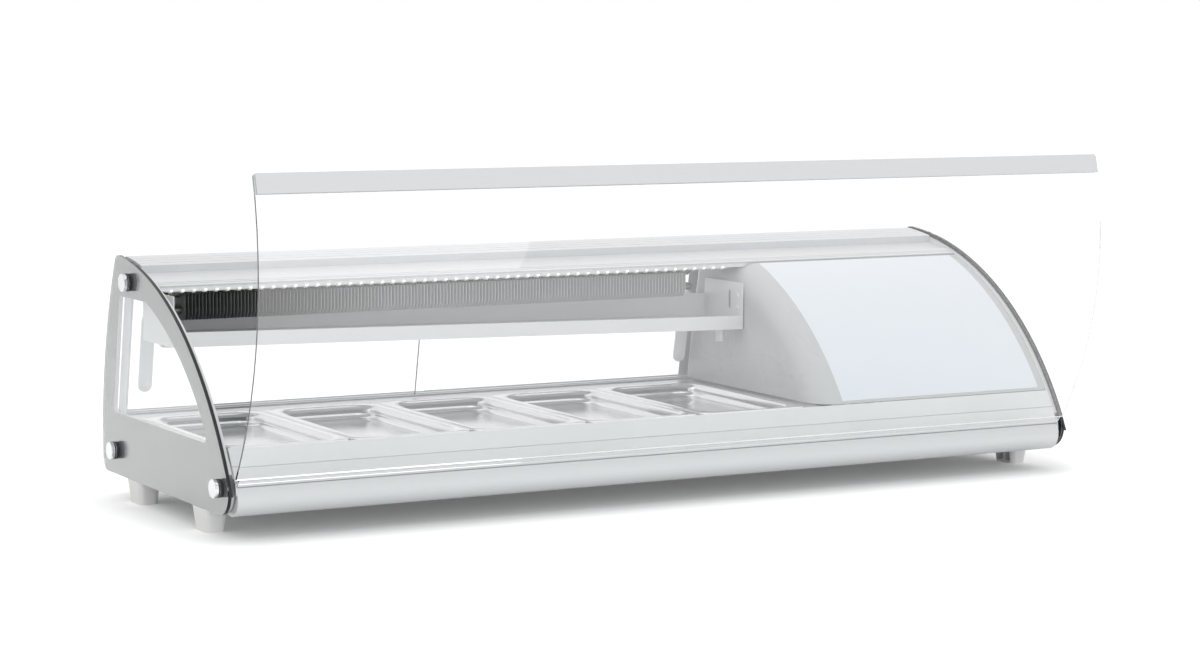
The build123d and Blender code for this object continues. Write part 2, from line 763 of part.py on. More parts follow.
FOOT_TOP = (34.0, 52.0)
FOOT_LOW = (27.0, 43.0)
FOOT_CORNER = 8.0
FOOT_X = HALF_LENGTH - 0.6 - FOOT_TOP[0] / 2
FOOT_FRONT_Y = -86.0
FOOT_REAR_Y = 165.0
FOOT_WALL = 4.0


def foot(side, y):
    """A tapered hollow foot, rounded outside, open towards the middle, with one rib."""
    high = COUNTER_GAP - 0.1
    body = loft([RectangleRounded(*FOOT_LOW, FOOT_CORNER), Pos(0, 0, high) * RectangleRounded(*FOOT_TOP, FOOT_CORNER)])
    half_x, half_y = FOOT_LOW[0] / 2, FOOT_LOW[1] / 2
    body -= block((-40.0, -half_y + FOOT_WALL, FOOT_WALL), (half_x - FOOT_WALL, half_y - FOOT_WALL, high - FOOT_WALL))
    body += block((-half_x + 1.5, -1.2, 1.0), (half_x - 1.0, 1.2, high - 1.0))
    plug_x = BASE_LOW - SHEET
    body += block((-14.0, -14.0, high - 1.0), (4.0, 14.0, plug_x))
    if side < 0:
        body = body.mirror(Plane.YZ)
    return Pos(side * FOOT_X, y, 0) * body


def feet():
    """The four feet, one group."""
    return Compound(children=[foot(side, y) for side in (-1, 1) for y in (FOOT_FRONT_Y, FOOT_REAR_Y)])


def compressor():
    """The hermetic compressor: domed can on a plate, with rubber-mounted feet."""
    x, y, r = 350.0, 60.0, 62.0
    profile = Polyline(
        (0, 8), (r - 22, 8), (r - 7, 14), (r, 28), (r, 76), (r - 7, 92), (r - 24, 101), (0, 104), close=True
    )
    can = Pos(x, y, BASE_LOW) * revolve(Plane.XZ * make_face(profile), Axis.Z)
    plate = block((x - 80, y - 50, BASE_LOW + 5.0), (x + 80, y + 50, BASE_LOW + 9.0))
    for dx in (-68, 68):
        for dy in (-40, 40):
            plate += Pos(x + dx, y + dy, BASE_LOW + 4.0) * Cylinder(8.0, 8.0)
    return can + plate


COND_X = 560.0
COND_Y = 190.0
COND_HALF = 62.0
COND_Z = BASE_LOW + 68.0
FAN_RADIUS = 50.0
SHAFT_RADIUS = 3.0


def condenser():
    """The finned condenser at the back of the machine side, with its shroud hole open."""
    fins = []
    for n in range(14):
        x = COND_X - COND_HALF + n * 2 * COND_HALF / 13 - 0.5
        fins.append(block((x, COND_Y, COND_Z - 62.0), (x + 1.0, COND_Y + 22.0, COND_Z + 62.0)))
    for rise in (-45, -15, 15, 45):
        pipe = Rot(0, 90, 0) * extrude(RegularPolygon(4.0, 8), 2 * COND_HALF + 16.0)
        fins.append(Pos(COND_X - COND_HALF - 8.0, COND_Y + 11.0, COND_Z + rise) * pipe)
    body = fins[0]
    for piece in fins[1:]:
        body += piece
    return body


def fan_shroud():
    """The plate between condenser and fan, with its round mouth and a motor bracket."""
    plate = block(
        (COND_X - COND_HALF - 3, COND_Y - 8.0, BASE_LOW), (COND_X + COND_HALF + 3, COND_Y - 6.5, COND_Z + 65.0)
    )
    plate -= rod("Y", (COND_X, COND_Y - 7.0, COND_Z), FAN_RADIUS + 3.0, 10.0)
    ring = rod("Y", (COND_X, COND_Y - 14.0, COND_Z), FAN_RADIUS + 4.5, 14.0)
    ring -= rod("Y", (COND_X, COND_Y - 14.0, COND_Z), FAN_RADIUS + 3.0, 16.0)
    shroud = plate + ring
    for turn in (45, 135, 225, 315):
        arm = block((18.0, -1.0, -4.0), (FAN_RADIUS + 4.0, 1.0, 4.0))
        arm = Pos(COND_X, COND_Y - 27.0, COND_Z) * (Rot(0, turn, 0) * arm)
        shroud += arm
        post = Pos(COND_X, COND_Y - 24.0, COND_Z) * (Rot(0, turn, 0) * block((FAN_RADIUS + 2.8, -4, -4), (FAN_RADIUS + 4.4, 12, 4)))
        shroud += post
    motor = rod("Y", (COND_X, COND_Y - 37.0, COND_Z), 20.0, 22.0)
    return shroud + motor + rod("Y", (COND_X, COND_Y - 20.0, COND_Z), SHAFT_RADIUS, 14.0)


def condenser_fan():
    """Five blades on a hub."""
    hub = rod("Y", (COND_X, COND_Y - 17.0, COND_Z), 14.0, 12.0)
    hub -= rod("Y", (COND_X, COND_Y - 17.0, COND_Z), SHAFT_RADIUS + 0.05, 20.0)
    for blade in range(5):
        plate = Rot(35, 0, 0) * Box(FAN_RADIUS - 13.0, 1.4, 16.0)
        plate = Pos(12.0 + (FAN_RADIUS - 13.0) / 2, 0, 0) * plate
        hub += Pos(COND_X, COND_Y - 17.0, COND_Z) * (Rot(0, blade * 72.0, 0) * plate)
    return hub


REAR_PANEL_Y = 270.0
REAR_PANEL_LOW = 108.2
REAR_PANEL_TOP = 326.0
REAR_PANEL_LEAN = 42.0
LOUVRES = 9
GLAND_X = 330.0
GLAND_Z = 72.0
GLAND_RADIUS = 8.0
CONTROL_X = 372.0
CONTROL_Z = 230.0
SWITCH_X = 300.0


def rear_panel_y(z):
    """The outer face of the rear cover at a height."""
    return REAR_PANEL_Y - (z - REAR_PANEL_LOW) * REAR_PANEL_LEAN / (REAR_PANEL_TOP - REAR_PANEL_LOW)


def rear_panel():
    """The louvred rear cover of the machine side, leaning forward."""
    top = rear_panel_y(REAR_PANEL_TOP)
    wall = 1.5
    face = make_face(
        Polyline(
            (REAR_PANEL_Y, REAR_PANEL_LOW),
            (top, REAR_PANEL_TOP),
            (top - wall, REAR_PANEL_TOP),
            (REAR_PANEL_Y - wall, REAR_PANEL_LOW),
            close=True,
        )
    )
    panel = along(face, DIVIDER_X + 12.5, CHEEK_FACE)
    for row in range(LOUVRES):
        z = 150.0 + row * 16.0
        y = rear_panel_y(z)
        panel -= block((480.0, y - 8.0, z), (630.0, y + 8.0, z + 6.0))
    return panel - controller_cut() - switch_cut()


def on_rear(x, z, part):
    """Places a piece, drawn at the origin with +Y out, on the leaning rear cover."""
    slope = degrees(atan2(REAR_PANEL_LEAN, REAR_PANEL_TOP - REAR_PANEL_LOW))
    return Pos(x, rear_panel_y(z), z) * (Rot(slope, 0, 0) * part)


def controller_cut():
    """The rectangular hole of the controller."""
    return on_rear(CONTROL_X, CONTROL_Z, Box(72.0, 12.0, 30.0))


def switch_cut():
    """The rectangular hole of the two rocker switches."""
    return on_rear(SWITCH_X, CONTROL_Z, Box(23.0, 12.0, 31.0))


BUTTON_STEP = 11.5


def controller():
    """The digital controller: bezel, body and a recessed display, with holes for its buttons."""
    body = Pos(0, -16.0, 0) * Box(71.6, 34.0, 29.6)
    bezel = Pos(0, 2.0, 0) * Box(80.0, 4.0, 36.0)
    bezel = fillet(bezel.edges().filter_by(Axis.Y), 3.0)
    part = body + bezel
    part -= Pos(-15.0, 3.5, 0) * Box(38.0, 2.0, 22.0)
    for number in range(4):
        part -= Pos(*button_place(number)) * Box(10.4, 8.0, 10.4)
    return on_rear(CONTROL_X, CONTROL_Z, part)


def button_place(number):
    """The middle of a controller button on its bezel."""
    return (12.0 + BUTTON_STEP * (number % 2) + 2.0, 3.0, (0.5 - number // 2) * BUTTON_STEP)


def button(number):
    """One controller button."""
    cap = Box(9.6, 4.0, 9.6)
    cap = fillet(cap.edges().filter_by(Axis.Y), 1.5)
    x, y, z = button_place(number)
    return on_rear(CONTROL_X, CONTROL_Z, Pos(x, y + 0.2 + 1.0, z) * cap)


ROCKER_PIVOT = -2.0
ROCKER_PIN = 1.5


def switch_frame():
    """The frame that the rocker of the main switch sits in."""
    body = Pos(0, -9.0, 0) * Box(22.6, 20.0, 30.6)
    rim = Pos(0, 1.0, 0) * Box(27.0, 2.0, 35.0)
    part = body + rim
    part -= Box(18.0, 20.0, 26.0)
    part -= rod("X", (0, ROCKER_PIVOT, 0), ROCKER_PIN + 0.1, 20.4)
    return on_rear(SWITCH_X, CONTROL_Z, part)


def rocker():
    """The rocker of the main switch, pressed at its lower half."""
    line = Polyline((-11.6, 5.2), (0.0, 2.4), (11.6, 2.2), (11.0, -5.0), (0.0, -8.0), (-11.0, -5.0), close=True)
    part = extrude(make_face(line), 16.8)
    part = Pos(-8.4, 0, 0) * (Rot(0, 90, 0) * part)
    part += rod("X", (0, ROCKER_PIVOT, 0), ROCKER_PIN, 20.0)
    return on_rear(SWITCH_X, CONTROL_Z, part)


def cable_gland():
    """The inlet of the mains lead: a nut, a thread and a domed cap."""
    y = BASE_REAR
    gland = rod("Y", (GLAND_X, y - 1.0, GLAND_Z), GLAND_RADIUS, 14.0)
    nut = Pos(GLAND_X, y - SHEET - 0.2, GLAND_Z) * (Rot(90, 0, 0) * extrude(RegularPolygon(11.0, 6), 2.0))
    cap = Pos(GLAND_X, y + 6.2, GLAND_Z) * (Rot(90, 0, 0) * extrude(RegularPolygon(11.0, 6), 6.0))
    cone = Pos(GLAND_X, y + 9.0, GLAND_Z) * (Rot(-90, 0, 0) * Cone(9.0, 6.5, 6.0))
    part = gland + nut + cap + cone
    return part - rod("Y", (GLAND_X, y, GLAND_Z), 4.0, 40.0)


def rear_jamb(side):
    """An upright that closes the end of the doors: at the left cheek and at the divider."""
    x_low = -CHEEK_FACE if side < 0 else DIVIDER_X + 12.2
    x_high = x_low + (2.6 if side < 0 else 1.8)
    front = door_y(1) - (12.0 if side < 0 else 4.0)
    post = block((x_low, front, DOOR_FOOT_Z + 4.2), (x_high, door_y(-1) + DOOR_GLASS + 2.6, DOOR_TOP_Z - 8.2))
    return leaned(post)


os.makedirs("parts", exist_ok=True)


def save(name, part):
    """Writes one piece under its name."""
    export_step(part, f"parts/{name}.step")


def main():
    """Builds and writes every piece."""
    for name, side in (("left", -1), ("right", 1)):
        save(f"side_glass_{name}", side_glass(side))
        save(f"side_print_{name}", side_print(side))
        save(f"end_cheek_{name}", end_cheek(side))
        save(f"sliding_door_{name}", door(side))
        save(f"door_handle_{name}", door_handle(side))
        save(f"rear_jamb_{name}", rear_jamb(side))
    save("standoff_caps", standoffs())
    save("standoff_washers", washers())
    save("canopy", canopy())
    save("led_strip", led_strip())
    save("drip_tray", drip_tray())
    save("tray_brackets", tray_brackets())
    save("evaporator_fins", evaporator_fins())
    save("evaporator_coil", evaporator_coil())
    save("front_fascia", front_fascia())
    save("glass_holder", glass_holder())
    save("front_glass", front_glass())
    save("glass_grip", glass_grip())
    save("hinge_rod", hinge_rod())
    save("hinge_plates", hinge_plates())
    save("base_tray", base_tray())
    save("insulation", insulation())
    save("well_liner", well_liner())
    save("pan_deck", pan_deck())
    save("pan_crossbars", crossbars())
    for number in range(PAN_COUNT):
        save(f"pan_{number + 1}", pan(number))
    save("compressor_cover", compressor_cover())
    save("lit_panel", lit_panel())
    save("door_track_lower", lower_track())
    save("door_track_upper", upper_track())
    save("feet", feet())
    save("compressor", compressor())
    save("condenser", condenser())
    save("fan_shroud", fan_shroud())
    save("condenser_fan", condenser_fan())
    save("rear_panel", rear_panel())
    save("controller", controller())
    for number in range(4):
        save(f"controller_button_{number + 1}", button(number))
    save("switch_frame", switch_frame())
    save("switch_rocker", rocker())
    save("cable_gland", cable_gland())


main()
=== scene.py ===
import math

import bpy
import numpy as np
from mathutils import Matrix, Vector

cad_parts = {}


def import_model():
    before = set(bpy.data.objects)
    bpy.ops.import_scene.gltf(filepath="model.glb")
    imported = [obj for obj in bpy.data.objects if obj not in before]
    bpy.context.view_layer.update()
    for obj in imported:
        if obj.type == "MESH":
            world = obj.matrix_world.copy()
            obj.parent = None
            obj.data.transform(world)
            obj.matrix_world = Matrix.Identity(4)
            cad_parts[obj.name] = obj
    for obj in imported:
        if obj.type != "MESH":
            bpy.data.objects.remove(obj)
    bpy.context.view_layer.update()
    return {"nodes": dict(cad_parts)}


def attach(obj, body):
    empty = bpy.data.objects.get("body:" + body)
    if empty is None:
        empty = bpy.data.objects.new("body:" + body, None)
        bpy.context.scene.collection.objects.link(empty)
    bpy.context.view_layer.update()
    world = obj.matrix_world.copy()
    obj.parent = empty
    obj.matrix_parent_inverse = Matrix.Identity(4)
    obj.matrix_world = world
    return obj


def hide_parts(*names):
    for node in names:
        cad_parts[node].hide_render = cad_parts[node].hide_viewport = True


# Looks of the refrigerated counter display case, in metres, in the frame of the CAD.

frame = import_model()
nodes = frame["nodes"]

# The curve of the front: one circle seen from the side, as in the source
CURVE_Y, CURVE_Z = 0.2499, -0.1511
FASCIA_RADIUS = 0.4959
SEAM_RADIUS = 0.4947
PANE_RADIUS = 0.49892
BAND_RADIUS = 0.49905
# The front glass lies on a circle of its own, and turns about a hinge in the fascia
GLASS_CENTRE_Y = 0.2459
GLASS_OUTER, GLASS_INNER = 0.4985, 0.4945
PIVOT = (-0.1922, 0.0770)
OPEN_ANGLE = 62.0
GROOVE_RADIUS, BEAD_RADIUS = 0.0046, 0.0041
FASCIA_HALF, FOOT_HALF, BEAD_HALF = 0.6658, 0.6652, 0.6650
NOSE_Y, NOSE_Z, NOSE_RADIUS = -0.1741, 0.0560, 0.0240
# The side panes, their printed borders and the standoffs through them
PRINT_START, PRINT_SHEET = 0.6733, 0.0003
SKIN_STARTS = (("face", "print", 0.67342), ("back", "dark_line", 0.67332))
SKIN_SHEET = 0.00006
PANE_START, PANE_END = 0.6736, 0.6782
STANDOFFS = ((0.1665, 0.3115), (0.2260, 0.0680), (-0.1690, 0.0700))
SLEEVE_START, SLEEVE_LENGTH = 0.68035, 0.0049
SLEEVE_RADIUS, SLEEVE_RIB, SLEEVE_END = 0.01225, 0.00045, 0.0111
# The light strip, the evaporator's fins and the pans
LED_PITCH, LED_START, LED_COUNT = 0.0167, -0.648, 54
LED_Y, LED_Z = 0.0818, 0.3052
LED_HALF_SIZES = (0.0026, 0.0016, 0.0016)
FIN_SPAN = (-0.626, 0.178)
FIN_STEP, FIN_SHEET = 0.0052, 0.0004
RIM_Z = 0.1220
PAN_COUNT, PAN_FIRST, PAN_PITCH, PAN_Y = 5, -0.5770, 0.1802, -0.0007
PAN_HALF_WIDTH, PAN_HALF_LENGTH, PAN_SHEET = 0.0880, 0.1625, 0.0009
FILLET = 0.0085


def linear(red, green, blue):
    """A colour of the eye's scale, 0 to 255, as the light scale that shaders use."""
    out = []
    for value in (red, green, blue):
        part = value / 255.0
        out.append(part / 12.92 if part <= 0.04045 else ((part + 0.055) / 1.055) ** 2.4)
    return (*out, 1.0)


# Shader groups that the finishes share


def group(name, inputs, outputs):
    """An empty node group with named sockets, each given as name, kind and value."""
    made = bpy.data.node_groups.new(name, "ShaderNodeTree")
    for label, kind, value in inputs:
        socket = made.interface.new_socket(label, in_out="INPUT", socket_type=kind)
        if value is not None:
            socket.default_value = value
    for label, kind in outputs:
        made.interface.new_socket(label, in_out="OUTPUT", socket_type=kind)
    start = made.nodes.new("NodeGroupInput")
    end = made.nodes.new("NodeGroupOutput")
    return made, start, end


def grain_group():
    """Grain: noise on stretched object coordinates gives a mask, and a colour made darker by it."""
    made, start, end = group(
        "Surface grain",
        [
            ("Color", "NodeSocketColor", (0.8, 0.8, 0.8, 1.0)),
            ("Stretch", "NodeSocketVector", (1.0, 1.0, 1.0)),
            ("Scale", "NodeSocketFloat", 400.0),
            ("Amount", "NodeSocketFloat", 0.05),
        ],
        [("Color", "NodeSocketColor"), ("Mask", "NodeSocketFloat")],
    )
    place = made.nodes.new("ShaderNodeTexCoord")
    stretch = made.nodes.new("ShaderNodeVectorMath")
    stretch.operation = "MULTIPLY"
    noise = made.nodes.new("ShaderNodeTexNoise")
    noise.inputs["Detail"].default_value = 4.0
    noise.inputs["Roughness"].default_value = 0.6
    dim = made.nodes.new("ShaderNodeMath")
    dim.operation = "MULTIPLY"
    keep = made.nodes.new("ShaderNodeMath")
    keep.operation = "SUBTRACT"
    keep.inputs[0].default_value = 1.0
    paint = made.nodes.new("ShaderNodeVectorMath")
    paint.operation = "SCALE"
    link = made.links.new
    link(place.outputs["Object"], stretch.inputs[0])
    link(start.outputs["Stretch"], stretch.inputs[1])
    link(stretch.outputs[0], noise.inputs["Vector"])
    link(start.outputs["Scale"], noise.inputs["Scale"])
    link(noise.outputs["Fac"], dim.inputs[0])
    link(start.outputs["Amount"], dim.inputs[1])
    link(dim.outputs[0], keep.inputs[1])
    link(start.outputs["Color"], paint.inputs[0])
    link(keep.outputs[0], paint.inputs["Scale"])
    link(paint.outputs[0], end.inputs["Color"])
    link(noise.outputs["Fac"], end.inputs["Mask"])
    return made


def smear_group():
    """Smears: broad soft noise, remapped, gives a roughness between two values."""
    made, start, end = group(
        "Soft smears",
        [
            ("Scale", "NodeSocketFloat", 9.0),
            ("Least", "NodeSocketFloat", 0.2),
            ("Most", "NodeSocketFloat", 0.3),
        ],
        [("Roughness", "NodeSocketFloat")],
    )
    place = made.nodes.new("ShaderNodeTexCoord")
    noise = made.nodes.new("ShaderNodeTexNoise")
    noise.inputs["Detail"].default_value = 3.0
    remap = made.nodes.new("ShaderNodeMapRange")
    remap.inputs["From Min"].default_value = 0.35
    remap.inputs["From Max"].default_value = 0.65
    link = made.links.new
    link(place.outputs["Object"], noise.inputs["Vector"])
    link(start.outputs["Scale"], noise.inputs["Scale"])
    link(noise.outputs["Fac"], remap.inputs["Value"])
    link(start.outputs["Least"], remap.inputs["To Min"])
    link(start.outputs["Most"], remap.inputs["To Max"])
    link(remap.outputs[0], end.inputs["Roughness"])
    return made


def painted_shade_group():
    """Painted shade: a smooth step along X between two places mixes a dark colour into a pale one."""
    made, start, end = group(
        "Painted shade along",
        [
            ("Dark", "NodeSocketColor", (0.1, 0.1, 0.1, 1.0)),
            ("Pale", "NodeSocketColor", (0.8, 0.8, 0.8, 1.0)),
            ("Start", "NodeSocketFloat", 0.0),
            ("End", "NodeSocketFloat", 1.0),
        ],
        [("Color", "NodeSocketColor")],
    )
    place = made.nodes.new("ShaderNodeTexCoord")
    split = made.nodes.new("ShaderNodeSeparateXYZ")
    remap = made.nodes.new("ShaderNodeMapRange")
    remap.interpolation_type = "SMOOTHSTEP"
    mix = made.nodes.new("ShaderNodeMixRGB")
    link = made.links.new
    link(place.outputs["Object"], split.inputs[0])
    link(split.outputs["X"], remap.inputs["Value"])
    link(start.outputs["Start"], remap.inputs["From Min"])
    link(start.outputs["End"], remap.inputs["From Max"])
    link(remap.outputs[0], mix.inputs["Fac"])
    link(start.outputs["Dark"], mix.inputs["Color1"])
    link(start.outputs["Pale"], mix.inputs["Color2"])
    link(mix.outputs[0], end.inputs["Color"])
    return made


GRAIN = grain_group()
PAINTED_SHADE = painted_shade_group()
SMEARS = smear_group()


def finish(name, color, metallic, rough, grain=(400.0, 0.05, (1.0, 1.0, 1.0)), bump=0.0, coat=0.0):
    """An opaque finish: grain darkens the colour, smears vary the roughness, a bump follows the grain."""
    made = bpy.data.materials.new(name)
    made.use_nodes = True
    tree = made.node_tree
    shader = tree.nodes["Principled BSDF"]
    shader.inputs["Metallic"].default_value = metallic
    shader.inputs["Coat Weight"].default_value = coat
    scale, amount, stretch = grain
    pattern = tree.nodes.new("ShaderNodeGroup")
    pattern.node_tree = GRAIN
    pattern.inputs["Color"].default_value = color
    pattern.inputs["Stretch"].default_value = stretch
    pattern.inputs["Scale"].default_value = scale
    pattern.inputs["Amount"].default_value = amount
    smears = tree.nodes.new("ShaderNodeGroup")
    smears.node_tree = SMEARS
    smears.inputs["Least"].default_value = rough[0]
    smears.inputs["Most"].default_value = rough[1]
    tree.links.new(pattern.outputs["Color"], shader.inputs["Base Color"])
    tree.links.new(smears.outputs["Roughness"], shader.inputs["Roughness"])
    if bump:
        relief = tree.nodes.new("ShaderNodeBump")
        relief.inputs["Strength"].default_value = bump
        relief.inputs["Distance"].default_value = 0.0004
        tree.links.new(pattern.outputs["Mask"], relief.inputs["Height"])
        tree.links.new(relief.outputs["Normal"], shader.inputs["Normal"])
    return made


def clear(name, color, rough, index=1.45):
    """Clear glass, with soft smears, that lets lamp light and soft light through to what is behind it."""
    made = bpy.data.materials.new(name)
    made.use_nodes = True
    tree = made.node_tree
    shader = tree.nodes["Principled BSDF"]
    shader.inputs["Base Color"].default_value = color
    shader.inputs["Transmission Weight"].default_value = 1.0
    shader.inputs["IOR"].default_value = index
    smears = tree.nodes.new("ShaderNodeGroup")
    smears.node_tree = SMEARS
    smears.inputs["Least"].default_value = rough[0]
    smears.inputs["Most"].default_value = rough[1]
    tree.links.new(smears.outputs["Roughness"], shader.inputs["Roughness"])
    passing = tree.nodes.new("ShaderNodeBsdfTransparent")
    passing.inputs["Color"].default_value = (0.93, 0.95, 0.95, 1.0)
    ray = tree.nodes.new("ShaderNodeLightPath")
    either = tree.nodes.new("ShaderNodeMath")
    either.operation = "MAXIMUM"
    mix = tree.nodes.new("ShaderNodeMixShader")
    tree.links.new(ray.outputs["Is Shadow Ray"], either.inputs[0])
    tree.links.new(ray.outputs["Is Diffuse Ray"], either.inputs[1])
    tree.links.new(either.outputs[0], mix.inputs["Fac"])
    tree.links.new(shader.outputs[0], mix.inputs[1])
    tree.links.new(passing.outputs[0], mix.inputs[2])
    tree.links.new(mix.outputs[0], tree.nodes["Material Output"].inputs["Surface"])
    return made


def lit(name, color, glow, strength):
    """A finish that gives off a little light of its own; on the handles this glow is painted light."""
    made = finish(name, color, 0.0, (0.3, 0.3), (60.0, 0.01, (1.0, 1.0, 1.0)))
    shader = made.node_tree.nodes["Principled BSDF"]
    shader.inputs["Emission Color"].default_value = glow
    shader.inputs["Emission Strength"].default_value = strength
    return made


def painted_shade_finish(name, dark, pale, reach):
    """Foil with painted shade, from dark to pale along the case, as the photograph shows."""
    made = finish(name, pale, 0.2, (0.4, 0.5), (400.0, 0.2, (1.0, 1.0, 1.0)))
    tree = made.node_tree
    painted_shades = tree.nodes.new("ShaderNodeGroup")
    painted_shades.node_tree = PAINTED_SHADE
    painted_shades.inputs["Dark"].default_value = dark
    painted_shades.inputs["Pale"].default_value = pale
    painted_shades.inputs["Start"].default_value = reach[0]
    painted_shades.inputs["End"].default_value = reach[1]
    pattern = next(node for node in tree.nodes if node.type == "GROUP" and node.node_tree == GRAIN)
    tree.links.new(painted_shades.outputs["Color"], pattern.inputs["Color"])
    return made


ALONG = (0.02, 1.0, 1.0)
EVEN = (1, 1, 1)
SATIN = (0.3, 0.38)
DRAWN = (900.0, 0.1, (1, 0.05, 1))
FINISHES = {
    "pane_glass": clear("Pane glass", (0.985, 0.99, 0.988, 1.0), (0.0, 0.01)),
    # a high index, for the strong glare that the photograph has on the curved pane
    "front_pane": clear("Curved pane glass", (0.99, 0.99, 0.99, 1.0), (0.0, 0.01), 1.8),
    "print": finish(
        "Grey border print",
        linear(132, 133, 134),
        0.0,
        (0.28, 0.3),
        (900.0, 0.08, EVEN),
        coat=0.4,
    ),
    "cheek": finish("Moulded cheek", linear(232, 233, 234), 0.0, (0.34, 0.42), (700.0, 0.04, EVEN), 0.15),
    "cover": finish("Moulded cover", linear(200, 201, 202), 0.0, (0.26, 0.34), (500.0, 0.04, EVEN), 0.08),
    "acrylic": lit("Frosted acrylic", linear(216, 221, 227), (0.84, 0.91, 1.0, 1.0), 0.12),
    "foot": finish("White foot plastic", linear(250, 250, 249), 0.0, (0.4, 0.5), (800.0, 0.05, EVEN), 0.2),
    "chrome": finish("Chrome cap", linear(228, 229, 231), 1.0, (0.05, 0.09), (300.0, 0.02, EVEN)),
    "rubber": finish("Dark washer", linear(52, 52, 54), 0.0, (0.5, 0.6), (600.0, 0.1, EVEN), 0.3),
    "anodised": finish(
        "Satin anodised front",
        linear(226, 228, 230),
        0.25,
        SATIN,
        (900.0, 0.05, ALONG),
        0.12,
    ),
    "canopy": finish(
        "Satin anodised canopy",
        linear(228, 230, 232),
        0.25,
        SATIN,
        (900.0, 0.05, ALONG),
        0.12,
    ),
    "polished": finish("Polished pan steel", linear(232, 233, 234), 0.85, (0.14, 0.2), DRAWN, 0.05),
    "steel": finish("Brushed steel", linear(222, 223, 224), 0.85, (0.28, 0.38), (900.0, 0.16, ALONG), 0.15),
    "tray": finish("Satin tray sheet", linear(242, 243, 244), 0.1, (0.3, 0.4), (700.0, 0.06, ALONG), 0.1),
    # painted light: the handles glow a little, though they are no lamps, to lift them out of shade
    "handle": lit("Handle plastic with painted glow", linear(236, 237, 238), (1.0, 1.0, 1.0, 1.0), 0.12),
    # painted shade: the fins are dark up to x = -0.60 and pale from x = -0.30 on
    "fins": painted_shade_finish("Fin foil with painted shade", linear(112, 113, 114), linear(240, 241, 242), (-0.60, -0.30)),
    "tube": finish("Tube metal", linear(120, 116, 112), 0.9, (0.3, 0.4), (300.0, 0.2, EVEN)),
    "board": finish("Light board", linear(232, 232, 226), 0.0, (0.35, 0.45), (600.0, 0.04, EVEN)),
    "emitter": lit("Light emitter", linear(250, 249, 244), (1.0, 0.99, 0.96, 1.0), 0.7),
    "white_sheet": finish(
        "White coated sheet",
        linear(226, 227, 227),
        0.0,
        (0.38, 0.46),
        (700.0, 0.05, EVEN),
        0.15,
    ),
    "foam": finish("Foam block", linear(206, 205, 200), 0.0, (0.7, 0.85), (350.0, 0.15, EVEN), 0.4),
    "black_can": finish("Black can", linear(38, 38, 40), 0.0, (0.3, 0.42), (500.0, 0.12, EVEN), 0.1, 0.3),
    "black_plastic": finish(
        "Black plastic",
        linear(34, 34, 36),
        0.0,
        (0.38, 0.5),
        (900.0, 0.12, EVEN),
        0.25,
    ),
    "dark_line": finish("Dark line", linear(34, 35, 37), 0.0, (0.35, 0.45), (600.0, 0.08, EVEN)),
}

WEARS = {
    "pane_glass": ("side_glass_left", "side_glass_right", "sliding_door_left", "sliding_door_right"),
    "front_pane": ("front_glass",),
    "print": ("side_print_left", "side_print_right"),
    "cheek": ("end_cheek_left", "end_cheek_right"),
    "cover": ("compressor_cover",),
    "acrylic": ("lit_panel",),
    "foot": ("feet",),
    "chrome": ("standoff_caps",),
    "rubber": ("standoff_washers",),
    "anodised": (
        "front_fascia",
        "glass_holder",
        "glass_grip",
        "door_track_lower",
        "door_track_upper",
        "rear_jamb_left",
        "rear_jamb_right",
    ),
    "canopy": ("canopy",),
    "polished": ("pan_1", "pan_2", "pan_3", "pan_4", "pan_5"),
    "tray": ("drip_tray", "tray_brackets"),
    "handle": ("door_handle_left", "door_handle_right"),
    "steel": ("hinge_rod", "hinge_plates", "well_liner", "pan_deck", "pan_crossbars"),
    "fins": ("evaporator_fins", "condenser"),
    "tube": ("evaporator_coil",),
    "board": ("led_strip",),
    "white_sheet": ("base_tray", "rear_panel", "fan_shroud"),
    "foam": ("insulation",),
    "black_can": ("compressor",),
    "black_plastic": (
        "controller",
        "controller_button_1",
        "controller_button_2",
        "controller_button_3",
        "controller_button_4",
        "switch_frame",
        "switch_rocker",
        "cable_gland",
        "condenser_fan",
    ),
}


def dress(obj, finish_name):
    """Puts one finish on all of an object."""
    obj.data.materials.clear()
    obj.data.materials.append(FINISHES[finish_name])


for finish_name, wearers in WEARS.items():
    for wearer in wearers:
        dress(nodes[wearer], finish_name)


# New pieces


def piece(name, points, faces, finish_name, body, smooth=False):
    """A mesh object from whole lists of points and faces, riding on a body."""
    mesh = bpy.data.meshes.new(name)
    mesh.from_pydata(points, [], faces)
    mesh.validate()
    if smooth:
        mesh.polygons.foreach_set("use_smooth", np.ones(len(mesh.polygons), bool))
    mesh.update()
    made = bpy.data.objects.new(name, mesh)
    bpy.context.scene.collection.objects.link(made)
    dress(made, finish_name)
    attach(made, body)
    return made


def tube_quads(count, rows):
    """Four-sided faces that join each ring of points to the next one."""
    ring = np.arange(count)
    following = np.roll(ring, -1)
    base = np.arange(rows - 1)[:, None] * count
    quads = [base + ring, base + following, base + count + following, base + count + ring]
    return np.stack(quads, 2).reshape(-1, 4)


def prisms(profile, starts, thickness):
    """Plates of one outline: point(i, j, k) = (start_i + k * thickness, profile_j), closed all round."""
    outline = np.asarray(profile, float)
    count, corners = len(starts), len(outline)
    points = np.zeros((count, 2, corners, 3))
    points[..., 0] = np.asarray(starts)[:, None, None] + np.array([0.0, thickness])[None, :, None]
    points[..., 1:] = outline[None, None]
    near = np.arange(corners)
    far = near + corners
    following = np.roll(near, -1)
    walls = np.stack([near, following, following + corners, far], 1)
    base = np.arange(count)[:, None, None] * 2 * corners
    sides = (walls[None] + base).reshape(-1, 4).tolist()
    caps_near = (near[::-1][None] + base[:, 0]).tolist()
    caps_far = (far[None] + base[:, 0]).tolist()
    return points.reshape(-1, 3).tolist(), sides + caps_near + caps_far


